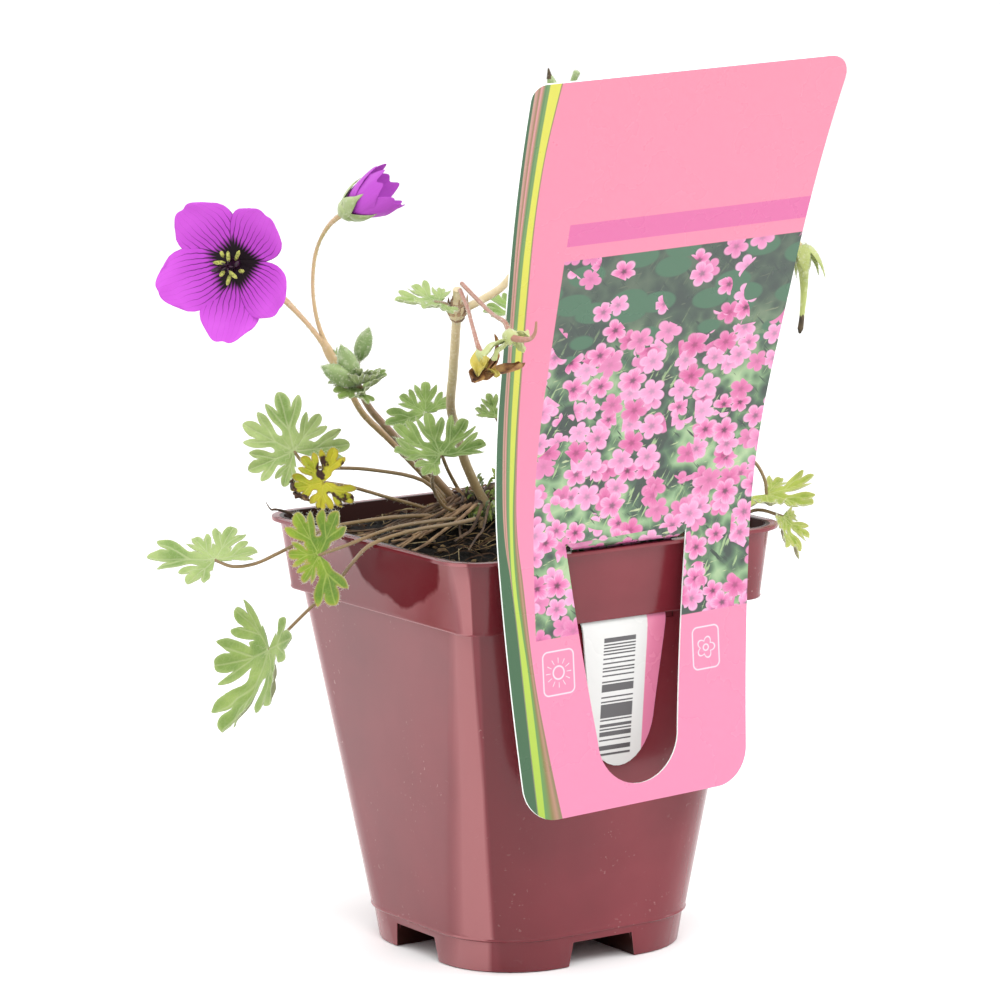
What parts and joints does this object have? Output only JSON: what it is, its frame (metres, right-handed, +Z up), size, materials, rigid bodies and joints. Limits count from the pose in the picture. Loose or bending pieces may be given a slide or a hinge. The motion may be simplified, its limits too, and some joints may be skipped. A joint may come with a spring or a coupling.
{
  "type": "potted hardy geranium",
  "caption": "Hardy geranium with cut leaves, magenta flowers and spent stems, growing in a square burgundy nursery pot with a pink plant label hooked on its rim",
  "frame": {"origin": "centre of the pot's underside, in the plane that its four corner feet stand on", "axes": "+Z up along the pot's axis; +Y away from the side that carries the label; +X to the right of someone facing the label"},
  "size_m": [0.1652, 0.1597, 0.2069],
  "materials": {
    "burgundy_plastic": "injection-moulded burgundy polypropylene, satin gloss",
    "printed_card": "printed pink plastic card, gloss varnish",
    "compost": null,
    "woody_stem": "brown woody stem, matt",
    "green_stalk": null,
    "magenta_petal": null,
    "dark_stamens": null,
    "green_leaf": null,
    "bright_leaf": null,
    "lime_leaf": null,
    "yellowed_leaf": null,
    "dried_flower": "dry straw-coloured and brown petals, papery"
  },
  "bodies": {
    "root": {"pot": "burgundy_plastic", "plant_label": "printed_card", "compost": "compost", "rootstock": "woody_stem", "flower_stalk": "green_stalk", "bud_spray": "green_stalk", "old_flower_stem": "woody_stem", "open_flower_petals": "magenta_petal", "open_flower_stamens": "dark_stamens", "half_open_petals": "magenta_petal", "seed_head": "green_leaf", "young_seed_heads": "green_leaf", "spent_flower_left": "dried_flower", "spent_flower_right": "dried_flower", "leaf_on_stem": "green_leaf", "leaf_crown_front": "green_leaf", "leaf_crown_small": "green_leaf", "leaf_left_high": "green_leaf", "leaf_yellow": "yellowed_leaf", "leaf_left_middle": "green_leaf", "leaf_rim": "bright_leaf", "leaf_left_low": "green_leaf", "leaf_behind_label": "green_leaf", "leaf_right_upper": "lime_leaf", "leaf_right_lower": "lime_leaf", "leaf_back_right": "green_leaf", "leaf_back_far": "green_leaf", "leaf_back_high": "green_leaf", "leaf_back_low": "lime_leaf", "leaf_side_right": "green_leaf"}
  },
  "joints": []
}
